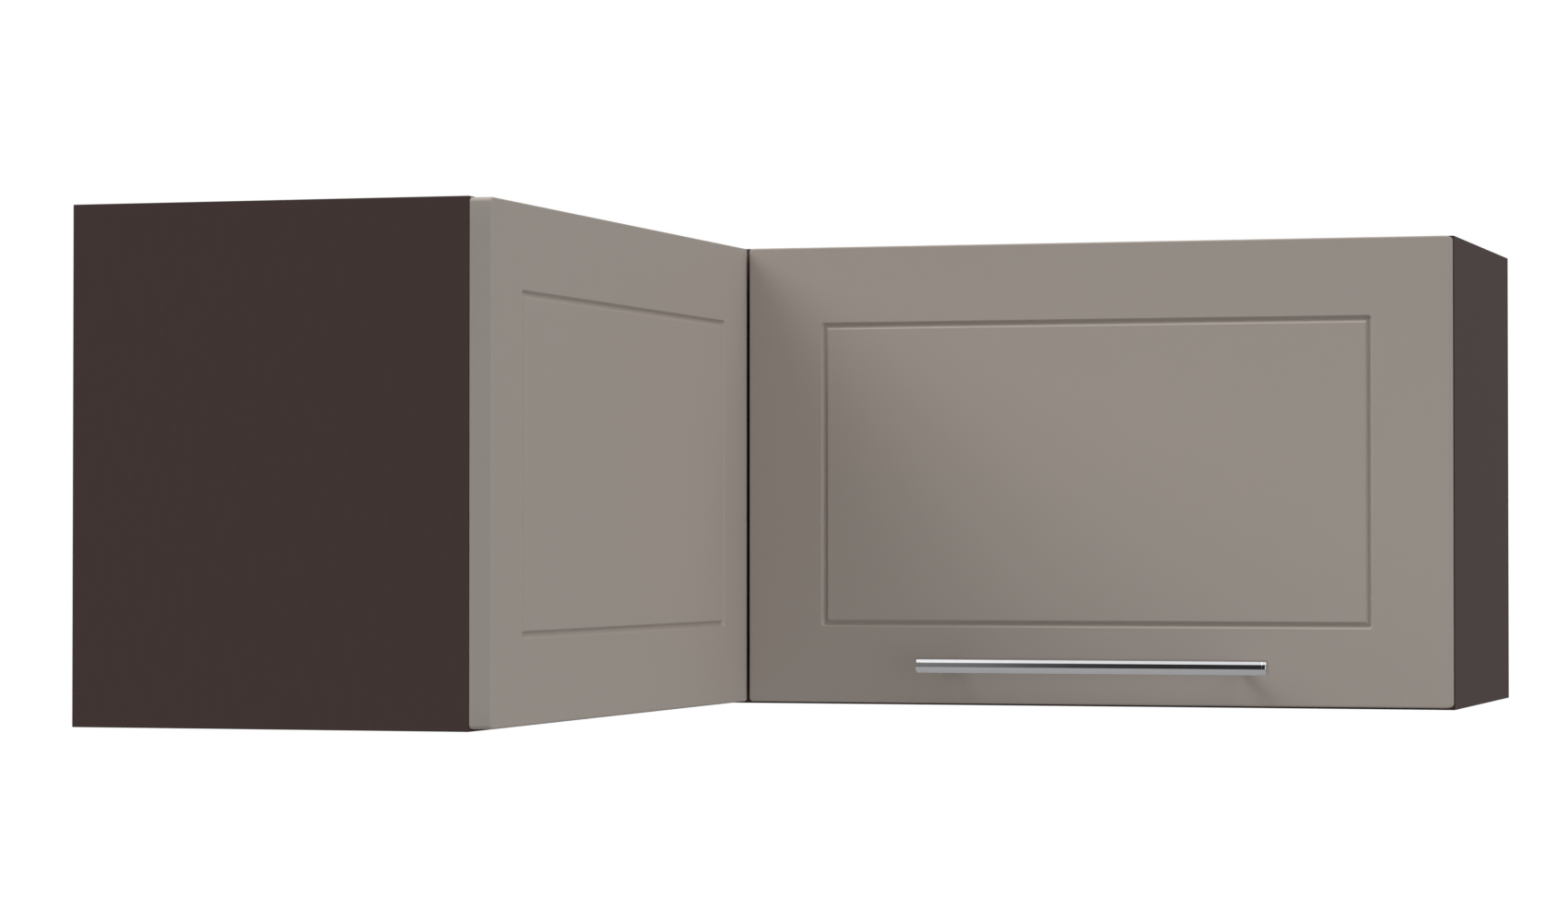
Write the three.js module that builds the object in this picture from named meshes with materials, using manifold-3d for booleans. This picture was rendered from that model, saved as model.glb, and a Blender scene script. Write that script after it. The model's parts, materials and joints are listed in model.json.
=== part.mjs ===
// Corner wall cabinet: an L-shaped laminated carcass, a fixed blind front on its left wing,
// and a top-hung flap with two cup hinges, one gas strut and a bar handle on its right wing.
//
// Frame: millimetres, +Z up. The origin is the corner of the two walls, level with the
// cabinet's underside. +X runs along the back wall, -Y along the left wall into the room.

import * as THREE from 'three';
import { mergeVertices } from 'three/addons/utils/BufferGeometryUtils.js';
import Module from 'manifold-3d';

// ---------------------------------------------------------------- driving dimensions

// Clearances
const seamGap = 0.3;              // between pieces that touch
const boreClearance = 0.3;        // radial, round a screw, pin or cup in its hole
const overcut = 1;                // how far a cutting solid stands past the face it opens
const mergeTolerance = 1e-5;      // corners closer than this are one corner

// Carcass
const cabinetHeight = 360;
const rightWingLength = 864;      // outside, along the back wall
const leftWingLength = 892;       // outside, along the left wall
const rightCarcassDepth = 296;    // wall to the front edges behind the flap
const leftCarcassDepth = 291;     // wall to the front edges behind the blind front
const boardThickness = 16;
const backThickness = 3;
const backRecess = 14;            // wall to the rear face of the back panels
const backGrooveDepth = 7;
const innerPostWidth = 64;        // each of the two boards of the inner corner post
const battenWidth = 84;           // upright board in the rear corner

// Fronts
const frontThickness = 16;
const frontTopReveal = 1;         // carcass top above the fronts
const frontBottomReveal = 2;      // carcass underside below the fronts
const frontCornerRadius = 3.5;
const frontArrisRadius = 2.5;
const flapGap = 2.5;              // carcass front edges to the back of the closed flap
const flapSideReveal = 0.5;       // outer face of the right end panel to the flap's edge
const cornerGap = 2.45;           // blind front's face to the flap's left edge
const blindFrontSetback = 3;      // blind front's inner end behind the flap's face
const frameWidth = 62;            // front's edge to the middle of its routed groove
const grooveWidth = 6;
const grooveBottomWidth = 1.6;
const grooveDepth = 2.2;

// Handle
const handleSpacing = 224;        // between its two posts
const handleOverhang = 25.2;      // bar past each post
const handleDiameter = 12;
const handlePostDiameter = 9;
const handleProjection = 30;      // flap's face to the bar's axis
const handleFromBottom = 30.2;    // flap's lower edge to the bar's axis
const handleOffset = 5.4;         // to the right of the flap's middle
const handleScrewDiameter = 4;
const handleScrewHeadDiameter = 8.4;
const handleScrewHeadHeight = 2.4;
const handleScrewGrip = 12;       // screw's length inside the post

// Cup hinges
const hingeInset = 100;           // flap's edge to the middle of a hinge
const cupDiameter = 35;
const cupDepth = 13;
const cupWall = 0.7;
const cupEdgeDistance = 3;        // flap's top edge to the cup's bore
const pinBelowCupEdge = 4;        // upper end of the cup's bore to the hinge pin
const pinInsideFlap = 10;         // flap's back face to the hinge pin
const pinDiameter = 2;
const knuckleDiameter = 3.8;
const neckWidth = 11;
const neckThickness = 2;
const neckDrop = 14.4;            // hinge pin to the middle of the neck's level run
const cupFlangeThickness = 1.2;
const cupFlangeHeight = 26;
const cupFlangeOffset = 3;        // flange's middle below the cup's
const cupScrewSpacing = 45;
const cupScrewOffset = 9.5;       // cup screws below the cup's middle
const cupScrewMargin = 4.5;       // flange's material past each cup screw
const plateSetback = 37;          // carcass front edge to the plate's screws
const plateScrewSpacing = 32;
const plateWingWidth = 13;
const plateWingMargin = 7;        // wing's material past each plate screw
const plateLength = 46;
const plateBaseThickness = 2;
const plateRibWidth = 15;
const armWall = 1.4;
const armRearOverhang = 4;        // arm past the rear end of its plate
const screwDiameter = 3.2;        // chipboard screws
const screwHeadDiameter = 6.6;
const screwHeadHeight = 1.5;
const screwGrip = 11;             // screw's length inside the board
const armScrewDiameter = 4;
const armScrewHeadDiameter = 7.5;
const armScrewHeadHeight = 1.6;
const neckUprightSetback = 0.4;   // hinge pin to the middle of the neck's upright run, towards the room

// Screw heads, as shares of their own size
const headFlatShare = 0.64;       // flat on top, of the head's diameter
const headRimShare = 0.35;        // upright rim, of the head's height

// Gas strut
const flapOpening = 95;           // degrees
const strutInset = 14;            // right end panel's inner face to the strut's axis
const strutPivotBack = 125;       // carcass front edge to the strut's lower pivot
const strutPivotDrop = 180;       // carcass top to the strut's lower pivot
const strutFlapDrop = 59;         // flap's top edge to the strut's upper pivot
const strutStandoff = 19.5;       // flap's back face to the strut's upper pivot
const strutCylinderDiameter = 15;
const strutRodDiameter = 6;
const strutEndLength = 11;        // ball's middle to the end of its plastic fitting
const strutEndDiameter = 13;
const strutEndWidth = 11;
const strutStemDiameter = 9;
const strutBallDiameter = 8;
const strutStudDiameter = 4.8;
const strutGlandGrip = 7;         // rod still inside the cylinder when fully out
const strutRodShown = 15;         // rod outside the cylinder when the flap is closed
const strutBracketThickness = 2;
const strutBracketWidth = 24;
const strutBracketHeight = 40;
const strutTabWidth = 16;
const strutTabGap = 5;            // end of the flap bracket's stud to its tab

// Bumpers on the flap's lower corners
const bumperDiameter = 9;
const bumperFromBottom = 18;
const bumperFromEdge = 7.5;

// Wall hangers
const hangerLength = 62;
const hangerHeight = 42;
const hangerThickness = 16;
const hangerHookWidth = 11;
const hangerHookThickness = 3;
const hangerHookReach = 10;       // hook's tip past the back panel's rear face
const hangerHookLip = 14;
const hangerHookDrop = 16;        // hanger's top to the hook's tongue
const hangerHookTail = 30;        // hook's length inside the housing
const hangerNotchHeight = 36;

// Angle brackets that hold the blind front
const bracketLeg = 20;
const bracketThickness = 1.6;
const bracketWidth = 16;
const bracketHoleDiameter = 4.5;
const bracketFromEnd = 80;        // carcass top and underside to each bracket's middle

// Cam fittings that hold the end panels
const camDiameter = 15;
const camDepth = 12.5;
const camFromEnd = 34;            // end panel's inner face to the cam's middle
const camFromFront = 50;
const camFromWall = 60;
const camSlotWidth = 2;
const camSlotLength = 9;
const camSlotDepth = 3;

// Smoothness
const cornerSteps = 4;
const arrisSteps = 4;
const holeSides = 16;
const cupSides = 40;
const rodSides = 24;
const ballRings = 10;

// ---------------------------------------------------------------- derived places

const boardUnderside = cabinetHeight - boardThickness;
const rightPanelInnerX = rightWingLength - boardThickness;
const leftPanelInnerY = -leftWingLength + boardThickness;
const carcassFrontY = -rightCarcassDepth;
const backInnerFace = backRecess + backThickness;      // distance from either wall

const frontHeight = cabinetHeight - frontTopReveal - frontBottomReveal;
const frontTop = cabinetHeight - frontTopReveal;
const blindFrontBackX = leftCarcassDepth + seamGap;
const blindFrontFaceX = blindFrontBackX + frontThickness;
const flapLeft = blindFrontFaceX + cornerGap;
const flapRight = rightWingLength - flapSideReveal;
const flapWidth = flapRight - flapLeft;
const flapBackY = carcassFrontY - flapGap;
const flapFaceY = flapBackY - frontThickness;
const blindFrontLength = leftWingLength + flapFaceY + blindFrontSetback;

const pinY = flapBackY - pinInsideFlap;
const pinZ = frontTop - cupEdgeDistance - pinBelowCupEdge;
const cupBoreRadius = cupDiameter / 2;
const cupRadius = cupBoreRadius - boreClearance;
const cupCavityRadius = cupRadius - cupWall;
const cupZ = frontTop - cupEdgeDistance - cupBoreRadius;
const hingePlaces = { left: flapLeft + hingeInset, right: flapRight - hingeInset };

const handleMiddleX = (flapLeft + flapRight) / 2 + handleOffset;
const handleY = flapFaceY - handleProjection;
const handleZ = frontBottomReveal + handleFromBottom;
const handlePlaces = { left: handleMiddleX - handleSpacing / 2, right: handleMiddleX + handleSpacing / 2 };

// ---------------------------------------------------------------- solids

const wasm = await Module();
wasm.setup();

/** A closed three.js geometry as a solid that can be joined and cut. */
function toSolid(geometry) {
  const bare = geometry.index ? geometry.toNonIndexed() : geometry.clone();
  bare.deleteAttribute('normal');
  bare.deleteAttribute('uv');
  const merged = mergeVertices(bare, mergeTolerance);
  return new wasm.Manifold(new wasm.Mesh({
    numProp: 3,
    vertProperties: new Float32Array(merged.attributes.position.array),
    triVerts: new Uint32Array(merged.index.array),
  }));
}

/** A solid back as a three.js geometry with flat-shaded faces. */
function toGeometry(solid) {
  const { vertProperties, triVerts } = solid.getMesh();
  const geometry = new THREE.BufferGeometry();
  geometry.setAttribute('position', new THREE.BufferAttribute(new Float32Array(vertProperties), 3));
  geometry.setIndex(new THREE.BufferAttribute(new Uint32Array(triVerts), 1));
  const flat = geometry.toNonIndexed();
  flat.computeVertexNormals();
  return flat;
}

/** Cuts every tool out of the body. */
function cut(body, ...tools) {
  return tools.reduce((solid, tool) => solid.subtract(tool), body);
}

/** Joins overlapping solids into one. */
function join(first, ...others) {
  return others.reduce((solid, other) => solid.add(other), first);
}

/** A box between two opposite corners. */
function block([x0, x1], [y0, y1], [z0, z1]) {
  const geometry = new THREE.BoxGeometry(x1 - x0, y1 - y0, z1 - z0);
  geometry.translate((x0 + x1) / 2, (y0 + y1) / 2, (z0 + z1) / 2);
  return toSolid(geometry);
}

/** A cylinder along an axis, from one place on it to another, centred on the two other coordinates. */
function rod(axis, radius, [from, to], [a, b], sides = holeSides) {
  const geometry = new THREE.CylinderGeometry(radius, radius, Math.abs(to - from), sides);
  const middle = (from + to) / 2;
  if (axis === 'x') {
    geometry.rotateZ(-Math.PI / 2).translate(middle, a, b);
  } else if (axis === 'y') {
    geometry.translate(a, middle, b);
  } else {
    geometry.rotateX(Math.PI / 2).translate(a, b, middle);
  }
  return toSolid(geometry);
}

/** A flat outline of [x, y] points, extruded from z = from to z = to. */
function prism(points, [from, to]) {
  const shape = new THREE.Shape(points.map(([x, y]) => new THREE.Vector2(x, y)));
  const geometry = new THREE.ExtrudeGeometry(shape, { depth: to - from, bevelEnabled: false });
  geometry.translate(0, 0, from);
  return toSolid(geometry);
}

/** A side outline of [y, z] points, extruded along X between -width/2 and width/2. */
function sideProfile(points, width) {
  const shape = new THREE.Shape(points.map(([y, z]) => new THREE.Vector2(y, z)));
  const geometry = new THREE.ExtrudeGeometry(shape, { depth: width, bevelEnabled: false });
  // The shape's (x, y) become (y, z), and the extrusion runs along +X.
  const turn = new THREE.Matrix4().set(
    0, 0, 1, -width / 2,
    1, 0, 0, 0,
    0, 1, 0, 0,
    0, 0, 0, 1);
  geometry.applyMatrix4(turn);
  return toSolid(geometry);
}

// ---------------------------------------------------------------- finishes

const finishes = {
  laminate: { color: 0x3c322f, roughness: 0.55, metalness: 0 },
  hardboard: { color: 0x4a3d38, roughness: 0.7, metalness: 0 },
  foil: { color: 0x918880, roughness: 0.5, metalness: 0 },
  chrome: { color: 0xc4c5c7, roughness: 0.22, metalness: 1 },
  nickel: { color: 0xb9bab8, roughness: 0.32, metalness: 1 },
  zinc: { color: 0xa9adb0, roughness: 0.42, metalness: 1 },
  blackSteel: { color: 0x24262a, roughness: 0.35, metalness: 0.6 },
  greyPlastic: { color: 0x86888a, roughness: 0.5, metalness: 0 },
  whitePlastic: { color: 0xe6e5e0, roughness: 0.5, metalness: 0 },
  clearRubber: { color: 0xd9dad6, roughness: 0.35, metalness: 0 },
};

/** One named sub-part, placed in its parent group. */
function piece(parent, name, solid, finish, place = [0, 0, 0]) {
  const mesh = new THREE.Mesh(toGeometry(solid), new THREE.MeshStandardMaterial(finishes[finish]));
  mesh.name = name;
  mesh.position.set(...place);
  parent.add(mesh);
  return mesh;
}

/** A group at a place, turned about one axis. */
function frameAt(parent, place, turn = [0, 0, 0]) {
  const group = new THREE.Group();
  group.position.set(...place);
  group.rotation.set(...turn);
  parent.add(group);
  return group;
}

// ---------------------------------------------------------------- carcass

// Middles of the cam bores, in each board: two beside either end panel.
const camPlaces = {
  left_front: [leftCarcassDepth - camFromFront, leftPanelInnerY + camFromEnd],
  left_rear: [camFromWall, leftPanelInnerY + camFromEnd],
  right_front: [rightPanelInnerX - camFromEnd, carcassFrontY + camFromFront],
  right_rear: [rightPanelInnerX - camFromEnd, -camFromWall],
};

const plateScrewY = carcassFrontY + plateSetback;

/** The L-shaped outline of the top and bottom boards. */
const boardOutline = [
  [0, 0],
  [0, leftPanelInnerY + seamGap],
  [leftCarcassDepth, leftPanelInnerY + seamGap],
  [leftCarcassDepth, carcassFrontY],
  [rightPanelInnerX - seamGap, carcassFrontY],
  [rightPanelInnerX - seamGap, 0],
];

/** Grooves that take the edges of both back panels, between two heights. */
function backGrooves([low, high]) {
  const near = backRecess - seamGap;
  const far = backInnerFace + seamGap;
  const leftGroove = block([near, far], [leftPanelInnerY - backGrooveDepth, -near], [low, high]);
  const rightGroove = block([near, rightPanelInnerX + backGrooveDepth], [-far, -near], [low, high]);
  return join(leftGroove, rightGroove);
}

/** A cam bore in the inner face of a board, opening towards the cabinet's inside. */
function camBores(openFace, bottom) {
  const radius = camDiameter / 2 + boreClearance;
  return Object.values(camPlaces).map((place) => rod('z', radius, [openFace, bottom], place, rodSides));
}

function makeTopBoard() {
  const board = prism(boardOutline, [boardUnderside, cabinetHeight]);
  const plateScrewHoles = Object.values(hingePlaces).flatMap((x) => [-1, 1].map((side) => rod(
    'z', screwDiameter / 2 + boreClearance,
    [boardUnderside - overcut, boardUnderside + screwGrip + seamGap],
    [x + side * plateScrewSpacing / 2, plateScrewY])));
  return cut(board, backGrooves([boardUnderside - overcut, boardUnderside + backGrooveDepth]),
    ...camBores(boardUnderside - overcut, boardUnderside + camDepth + seamGap), ...plateScrewHoles);
}

function makeBottomBoard() {
  const board = prism(boardOutline, [0, boardThickness]);
  return cut(board, backGrooves([boardThickness - backGrooveDepth, boardThickness + overcut]),
    ...camBores(boardThickness + overcut, boardThickness - camDepth - seamGap));
}

function makeLeftEndPanel() {
  const panel = block([0, leftCarcassDepth], [-leftWingLength, leftPanelInnerY], [0, cabinetHeight]);
  return cut(panel, backGrooves([boardThickness - backGrooveDepth, boardUnderside + backGrooveDepth]));
}

function makeRightEndPanel() {
  const panel = block([rightPanelInnerX, rightWingLength], [carcassFrontY, 0], [0, cabinetHeight]);
  return cut(panel, backGrooves([boardThickness - backGrooveDepth, boardUnderside + backGrooveDepth]));
}

const panelEdge = backGrooveDepth - seamGap;     // how far a back panel reaches into its grooves
const backHeights = [boardThickness - panelEdge, boardUnderside + panelEdge];
const hangerTop = boardUnderside - seamGap;
const notchHeights = [hangerTop - hangerNotchHeight, boardUnderside + backGrooveDepth];

function makeLeftBack() {
  const panel = block([backRecess, backInnerFace], [leftPanelInnerY - panelEdge, -backRecess], backHeights);
  const notch = block([0, leftCarcassDepth],
    [leftPanelInnerY - backGrooveDepth, leftPanelInnerY + hangerThickness + 2 * seamGap], notchHeights);
  return cut(panel, notch);
}

function makeRightBack() {
  const left = backInnerFace + seamGap;
  const panel = block([left, rightPanelInnerX + panelEdge], [-backInnerFace, -backRecess], backHeights);
  const hangerWidth = hangerThickness + 2 * seamGap;
  const cornerNotchX = backInnerFace + boardThickness + 2 * seamGap;
  const through = [-rightCarcassDepth, 0];
  const endNotch = block([rightPanelInnerX - hangerWidth, rightWingLength], through, notchHeights);
  const cornerNotch = block([cornerNotchX, cornerNotchX + hangerWidth], through, notchHeights);
  return cut(panel, endNotch, cornerNotch);
}

function addCarcass(cabinet) {
  piece(cabinet, 'left_end_panel', makeLeftEndPanel(), 'laminate');
  piece(cabinet, 'right_end_panel', makeRightEndPanel(), 'laminate');
  piece(cabinet, 'top_board', makeTopBoard(), 'laminate');
  piece(cabinet, 'bottom_board', makeBottomBoard(), 'laminate');
  piece(cabinet, 'back_panel_left', makeLeftBack(), 'hardboard');
  piece(cabinet, 'back_panel_right', makeRightBack(), 'hardboard');

  const uprightHeights = [boardThickness + seamGap, boardUnderside - seamGap];
  const postLeft = leftCarcassDepth - boardThickness;
  piece(cabinet, 'inner_post_flap_side', block([postLeft, postLeft + innerPostWidth],
    [carcassFrontY, carcassFrontY + boardThickness], uprightHeights), 'laminate');
  piece(cabinet, 'inner_post_blind_side', block([postLeft, leftCarcassDepth],
    [carcassFrontY - seamGap - innerPostWidth, carcassFrontY - seamGap], uprightHeights), 'laminate');
  const battenNear = backInnerFace + seamGap;
  piece(cabinet, 'rear_corner_batten', block([battenNear, battenNear + boardThickness],
    [-battenNear - battenWidth, -battenNear], uprightHeights), 'laminate');
}

/** A cam with a cross slot in the face that shows, at the origin and reaching up into its board. */
function makeCam() {
  const disc = rod('z', camDiameter / 2, [0, camDepth], [0, 0], rodSides);
  const half = camSlotLength / 2;
  const slot = [-camSlotWidth / 2, camSlotWidth / 2];
  const deep = [-overcut, camSlotDepth];
  return cut(disc, block([-half, half], slot, deep), block(slot, [-half, half], deep));
}

function addCams(cabinet) {
  for (const [place, [x, y]] of Object.entries(camPlaces)) {
    piece(cabinet, `cam_top_${place}`, makeCam(), 'zinc', [x, y, boardUnderside]);
    const lower = piece(cabinet, `cam_bottom_${place}`, makeCam(), 'zinc', [x, y, boardThickness]);
    lower.rotation.x = Math.PI;
  }
}

// ---------------------------------------------------------------- fronts

/** A rounded rectangle's points, counter-clockwise from its lower right corner, inset from its edges. */
function roundedRing(width, height, radius, inset) {
  const points = [];
  const corners = [
    [width - radius, radius, -Math.PI / 2],
    [width - radius, height - radius, 0],
    [radius, height - radius, Math.PI / 2],
    [radius, radius, Math.PI],
  ];
  for (const [x, z, start] of corners) {
    for (let step = 0; step <= cornerSteps; step += 1) {
      const angle = start + (step / cornerSteps) * Math.PI / 2;
      points.push([x + (radius - inset) * Math.cos(angle), z + (radius - inset) * Math.sin(angle)]);
    }
  }
  return points;
}

/** Closed rings of equal count, each [[x, z], y], skinned in order and capped at both ends. */
function skinRings(rings) {
  const positions = [];
  const count = rings[0].points.length;
  const at = (ring, index) => {
    const [x, z] = rings[ring].points[index % count];
    return [x, rings[ring].y, z];
  };
  const middle = (ring) => {
    const sum = rings[ring].points.reduce(([sx, sz], [x, z]) => [sx + x, sz + z], [0, 0]);
    return [sum[0] / count, rings[ring].y, sum[1] / count];
  };
  const last = rings.length - 1;
  for (let index = 0; index < count; index += 1) {
    for (let ring = 0; ring < last; ring += 1) {
      positions.push(...at(ring, index), ...at(ring, index + 1), ...at(ring + 1, index + 1));
      positions.push(...at(ring, index), ...at(ring + 1, index + 1), ...at(ring + 1, index));
    }
    positions.push(...middle(0), ...at(0, index + 1), ...at(0, index));
    positions.push(...middle(last), ...at(last, index), ...at(last, index + 1));
  }
  const geometry = new THREE.BufferGeometry();
  geometry.setAttribute('position', new THREE.Float32BufferAttribute(positions, 3));
  return toSolid(geometry);
}

/** The cutter of a routed groove: a section of [inset, depth] points carried round a rectangle. */
function grooveCutter(width, height) {
  const slope = (grooveWidth - grooveBottomWidth) / 2 / grooveDepth;
  const mouth = grooveWidth / 2 + slope * overcut;
  const floor = grooveBottomWidth / 2;
  const section = [[-mouth, -overcut], [-floor, grooveDepth], [floor, grooveDepth], [mouth, -overcut]];
  const corner = (side, [offset, depth]) => {
    const inset = frameWidth + offset;
    const x = side === 1 || side === 2 ? width - inset : inset;
    const z = side >= 2 ? height - inset : inset;
    return [x, -frontThickness + depth, z];
  };
  const positions = [];
  for (let side = 0; side < 4; side += 1) {
    const next = (side + 1) % 4;
    section.forEach((point, index) => {
      const following = section[(index + 1) % section.length];
      positions.push(...corner(side, point), ...corner(next, following), ...corner(next, point));
      positions.push(...corner(side, point), ...corner(side, following), ...corner(next, following));
    });
  }
  const geometry = new THREE.BufferGeometry();
  geometry.setAttribute('position', new THREE.Float32BufferAttribute(positions, 3));
  return toSolid(geometry);
}

/** A front lying in the XZ plane: back face at y = 0, outer face at y = -frontThickness. */
function makeFront(width) {
  const rings = [{ points: roundedRing(width, frontHeight, frontCornerRadius, 0), y: 0 }];
  for (let step = 0; step <= arrisSteps; step += 1) {
    const angle = (step / arrisSteps) * Math.PI / 2;
    const inset = frontArrisRadius * (1 - Math.cos(angle));
    const y = -frontThickness + frontArrisRadius * (1 - Math.sin(angle));
    rings.push({ points: roundedRing(width, frontHeight, frontCornerRadius, inset), y });
  }
  return cut(skinRings(rings), grooveCutter(width, frontHeight));
}

/** The flap, with its cup bores and its screw holes, in the row's frame. */
function makeFlap() {
  const panel = makeFront(flapWidth).translate([flapLeft, flapBackY, frontBottomReveal]);
  const deep = cupDepth + seamGap;
  const inner = flapBackY + overcut;
  const cupCuts = Object.values(hingePlaces).flatMap((x) => [
    rod('y', cupBoreRadius, [inner, flapBackY - deep], [x, cupZ], cupSides),
    ...[-1, 1].map((side) => rod('y', screwDiameter / 2 + boreClearance,
      [inner, flapBackY - screwGrip - seamGap],
      [x + side * cupScrewSpacing / 2, cupZ - cupScrewOffset])),
  ]);
  const handleHoles = Object.values(handlePlaces).map((x) => rod('y', handleScrewDiameter / 2 + boreClearance,
    [inner, flapFaceY - overcut], [x, handleZ]));
  return cut(panel, ...cupCuts, ...handleHoles);
}

/** An angle bracket: its corner at the origin, one leg along -X and one along +Y. */
function makeBracket() {
  const half = bracketWidth / 2;
  const angle = prism([[0, 0], [0, bracketLeg], [-bracketThickness, bracketLeg],
    [-bracketThickness, bracketThickness], [-bracketLeg, bracketThickness], [-bracketLeg, 0]], [-half, half]);
  const holeAt = (bracketLeg + bracketThickness) / 2;
  const radius = bracketHoleDiameter / 2;
  return cut(angle, rod('x', radius, [-bracketThickness - overcut, overcut], [holeAt, 0]),
    rod('y', radius, [-overcut, bracketThickness + overcut], [-holeAt, 0]));
}

function addBlindFront(cabinet) {
  const front = frameAt(cabinet, [blindFrontBackX, -leftWingLength, frontBottomReveal], [0, 0, Math.PI / 2]);
  piece(front, 'blind_front', makeFront(blindFrontLength), 'foil');
  const heights = { lower: bracketFromEnd, upper: cabinetHeight - bracketFromEnd };
  const legPlane = blindFrontBackX - seamGap;
  const postEdge = carcassFrontY - 2 * seamGap - innerPostWidth;
  for (const [level, z] of Object.entries(heights)) {
    piece(cabinet, `front_bracket_end_${level}`, makeBracket(), 'zinc',
      [legPlane, leftPanelInnerY + seamGap, z]);
    const turned = piece(cabinet, `front_bracket_post_${level}`, makeBracket(), 'zinc',
      [legPlane, postEdge, z]);
    turned.rotation.z = Math.PI / 2;
  }
}

function addFlap(cabinet) {
  piece(cabinet, 'flap', makeFlap(), 'foil');
  const thickness = flapGap - 2 * seamGap;
  const postMiddle = leftCarcassDepth - boardThickness + innerPostWidth - bumperFromEdge;
  const places = { left: postMiddle, right: rightWingLength - bumperFromEdge };
  for (const [side, x] of Object.entries(places)) {
    const bumper = rod('y', bumperDiameter / 2, [0, thickness], [0, 0], rodSides);
    piece(cabinet, `bumper_${side}`, bumper, 'clearRubber',
      [x, flapBackY + seamGap, frontBottomReveal + bumperFromBottom]);
  }
}

// ---------------------------------------------------------------- handle

/** A turned post from the flap's face to the bar, saddled to the bar and drilled for its screw. */
function makeHandlePost() {
  const post = rod('y', handlePostDiameter / 2, [flapFaceY - seamGap, handleY], [0, 0], rodSides);
  const bar = rod('x', handleDiameter / 2 + seamGap, [-handleDiameter, handleDiameter], [handleY, 0],
    rodSides);
  const hole = rod('y', handleScrewDiameter / 2 + boreClearance,
    [flapFaceY + overcut, flapFaceY - handleScrewGrip - seamGap], [0, 0]);
  return cut(post, bar, hole);
}

/** A round-headed screw along -Y, the head's seat at the origin. */
function makeScrew(diameter, length, headDiameter, headHeight) {
  const rim = headDiameter / 2;
  const shank = diameter / 2;
  const profile = [[0, -headHeight], [rim * headFlatShare, -headHeight], [rim, -headHeight * headRimShare],
    [rim, 0], [shank, 0], [shank, length - shank], [0, length]];
  const geometry = new THREE.LatheGeometry(profile.map(([r, y]) => new THREE.Vector2(r, y)), holeSides);
  geometry.rotateX(Math.PI);
  return toSolid(geometry);
}

function addHandle(cabinet) {
  const half = handleSpacing / 2 + handleOverhang;
  piece(cabinet, 'handle_bar', rod('x', handleDiameter / 2, [-half, half], [0, 0], rodSides), 'chrome',
    [handleMiddleX, handleY, handleZ]);
  const length = frontThickness + seamGap + handleScrewGrip;
  for (const [side, x] of Object.entries(handlePlaces)) {
    piece(cabinet, `handle_post_${side}`, makeHandlePost(), 'chrome', [x, 0, handleZ]);
    piece(cabinet, `handle_screw_${side}`,
      makeScrew(handleScrewDiameter, length, handleScrewHeadDiameter, handleScrewHeadHeight),
      'zinc', [x, flapBackY + seamGap, handleZ]);
  }
}

// ---------------------------------------------------------------- hinges
// Each hinge is built round its pin: the origin is the pin's middle, +Y points into the cabinet.

const cupFromPin = { y: flapBackY - pinY, z: cupZ - pinZ };
const boardFromPin = boardUnderside - pinZ;
const plateFromPin = plateScrewY - pinY;
const plateTop = boardFromPin - seamGap;
const wingUnderside = plateTop - plateBaseThickness;
const webTop = -neckDrop + neckThickness / 2;
const webBottom = -neckDrop - neckThickness / 2;
const ribUnderside = webTop + seamGap;
const plateRear = plateFromPin + plateLength / 2;
const plateFront = plateFromPin - plateLength / 2;

function makeHingeCup() {
  const { y, z } = cupFromPin;
  const cup = rod('y', cupRadius, [y, y - cupDepth], [0, z], cupSides);
  const earX = cupScrewSpacing / 2 + cupScrewMargin;
  const flangeZ = z - cupFlangeOffset;
  const flange = block([-earX, earX], [y, y + cupFlangeThickness],
    [flangeZ - cupFlangeHeight / 2, flangeZ + cupFlangeHeight / 2]);
  const rim = rod('y', cupBoreRadius, [y, y + cupFlangeThickness], [0, z], cupSides);
  const cavity = rod('y', cupCavityRadius, [y + cupFlangeThickness + overcut, y - cupDepth + cupWall], [0, z],
    cupSides);
  const screwHoles = [-1, 1].map((side) => rod('y', screwDiameter / 2 + boreClearance,
    [y - overcut, y + cupFlangeThickness + overcut], [side * cupScrewSpacing / 2, z - cupScrewOffset]));
  return cut(join(cup, flange, rim), cavity, ...screwHoles);
}

/** The pin spans the cup's cavity at the height where it crosses it. */
function makeHingePin() {
  const rise = -cupFromPin.z + pinDiameter / 2;
  const half = Math.sqrt(cupCavityRadius ** 2 - rise ** 2) - seamGap;
  return rod('x', pinDiameter / 2, [-half, half], [0, 0], holeSides);
}

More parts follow.
